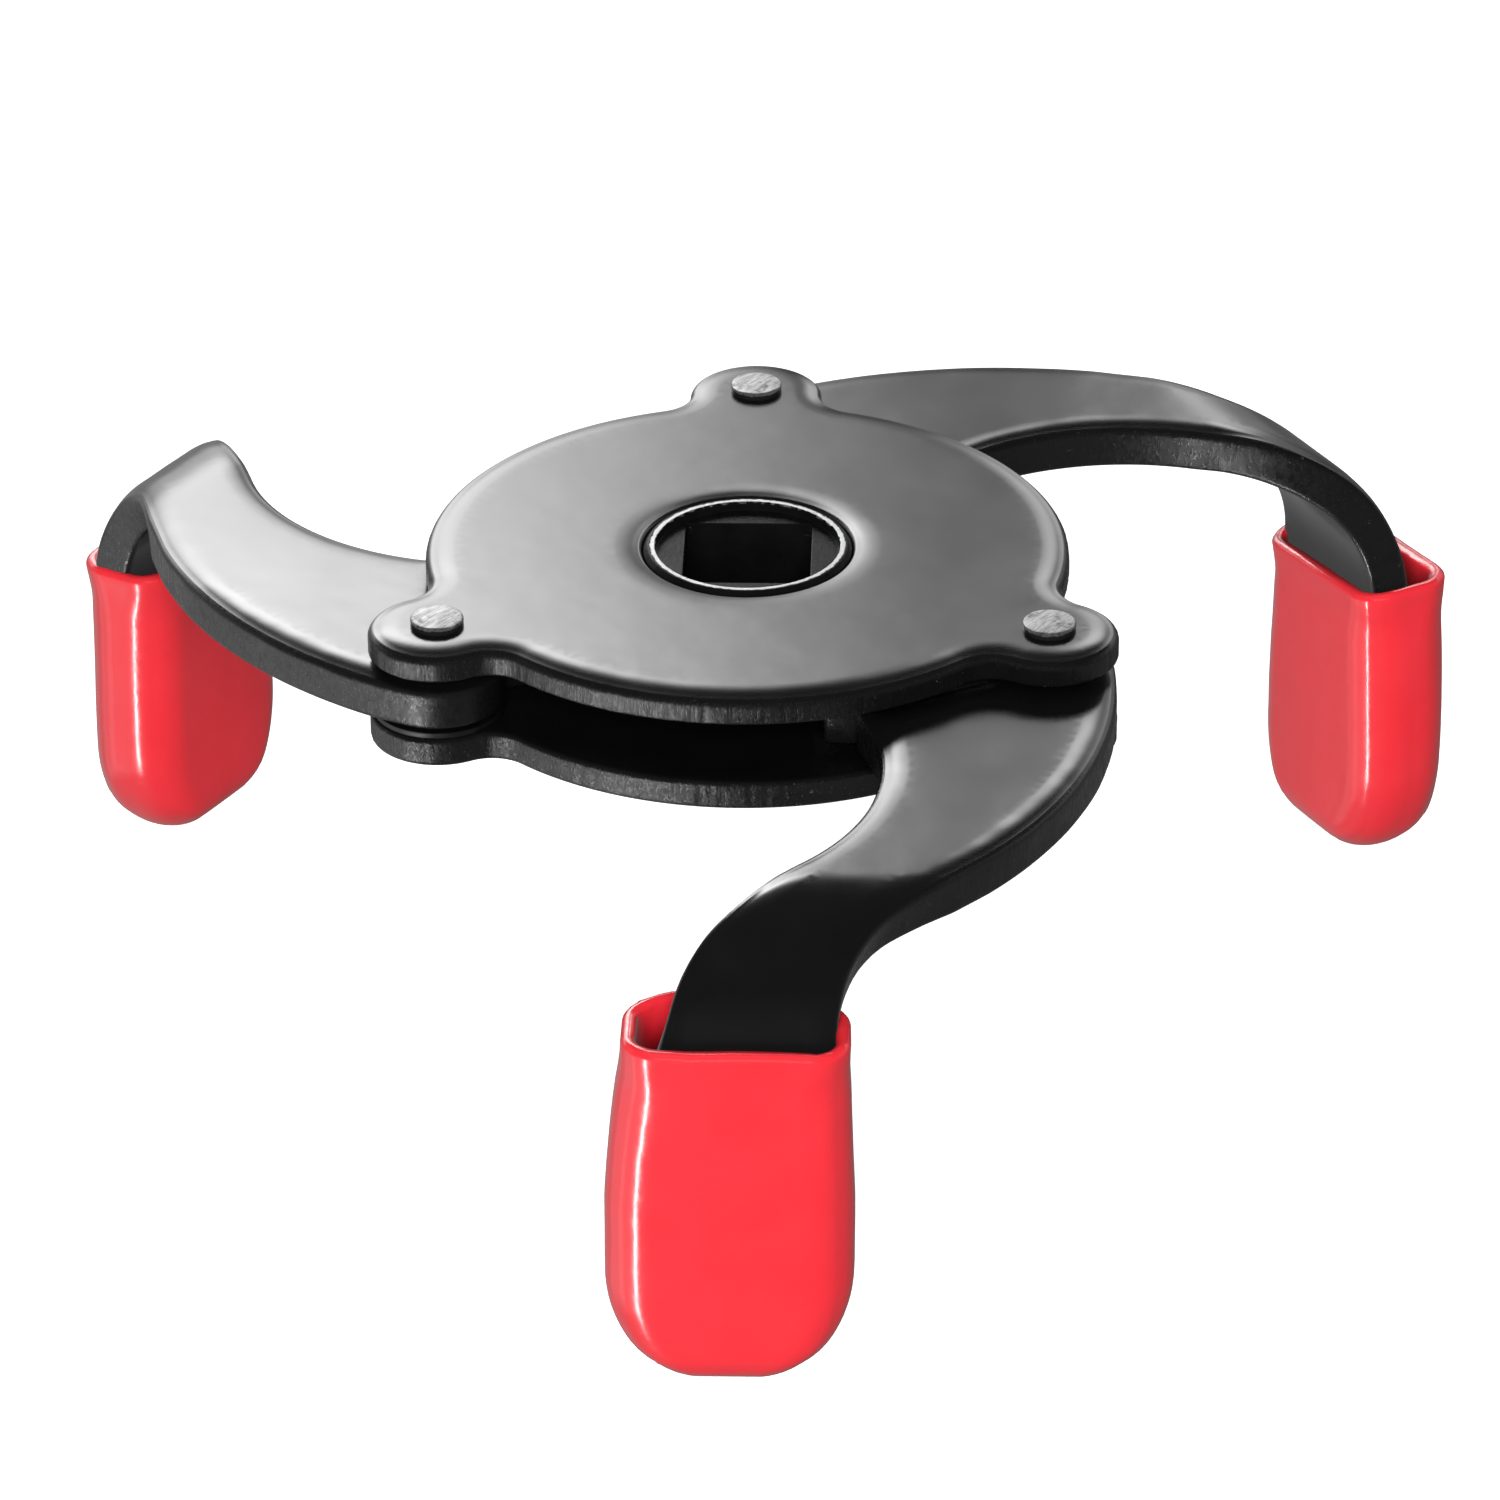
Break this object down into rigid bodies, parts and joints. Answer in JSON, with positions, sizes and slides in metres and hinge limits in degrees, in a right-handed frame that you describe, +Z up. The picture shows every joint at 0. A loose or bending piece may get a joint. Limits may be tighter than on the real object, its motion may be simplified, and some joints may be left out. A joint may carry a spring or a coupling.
{
  "type": "oil filter wrench",
  "caption": "Geared three-jaw wrench for spin-on oil filters: a square-drive hub swings flat steel arms inwards, and their sleeved legs grip the filter.",
  "frame": {"origin": "on the drive axis, at the top face of the top plate", "axes": "+Z up out of the drive socket, towards the driver; the front leg points along -Y"},
  "size_m": [0.1452, 0.1281, 0.0541],
  "materials": {
    "black_plate": "gloss",
    "black_arm": "gloss",
    "hub_steel": "satin",
    "bright_steel": "brushed",
    "plain_steel": "satin",
    "soft_sleeve": "gloss"
  },
  "bodies": {
    "frame": {"top_plate": "black_plate", "bottom_plate": "black_plate", "rivet_front": "bright_steel", "rivet_right": "bright_steel", "rivet_left": "bright_steel", "washer_front": "plain_steel", "washer_right": "plain_steel", "washer_left": "plain_steel"},
    "hub": {"drive_hub": "hub_steel"},
    "front_arm": {"arm_front": "black_arm", "sleeve_front": "soft_sleeve"},
    "right_arm": {"arm_right": "black_arm", "sleeve_right": "soft_sleeve"},
    "left_arm": {"arm_left": "black_arm", "sleeve_left": "soft_sleeve"}
  },
  "joints": [
    {"name": "hub_spin", "type": "hinge", "parent": "frame", "child": "hub", "pos_m": [0, 0, 0], "axis": [0, 0, 1], "range_deg": [-5, 70]},
    {"name": "arm_front_swing", "type": "hinge", "parent": "frame", "child": "front_arm", "pos_m": [0.03031, -0.0175, 0], "axis": [0, 0, 1], "range_deg": [-42, 3]},
    {"name": "arm_right_swing", "type": "hinge", "parent": "frame", "child": "right_arm", "pos_m": [0, 0.035, 0], "axis": [0, 0, 1], "range_deg": [-42, 3]},
    {"name": "arm_left_swing", "type": "hinge", "parent": "frame", "child": "left_arm", "pos_m": [-0.03031, -0.0175, 0], "axis": [0, 0, 1], "range_deg": [-42, 3]}
  ],
  "couplings": [
    {"joint": "arm_front_swing", "follows": "hub_spin", "ratio": -0.6},
    {"joint": "arm_right_swing", "follows": "hub_spin", "ratio": -0.6},
    {"joint": "arm_left_swing", "follows": "hub_spin", "ratio": -0.6}
  ]
}
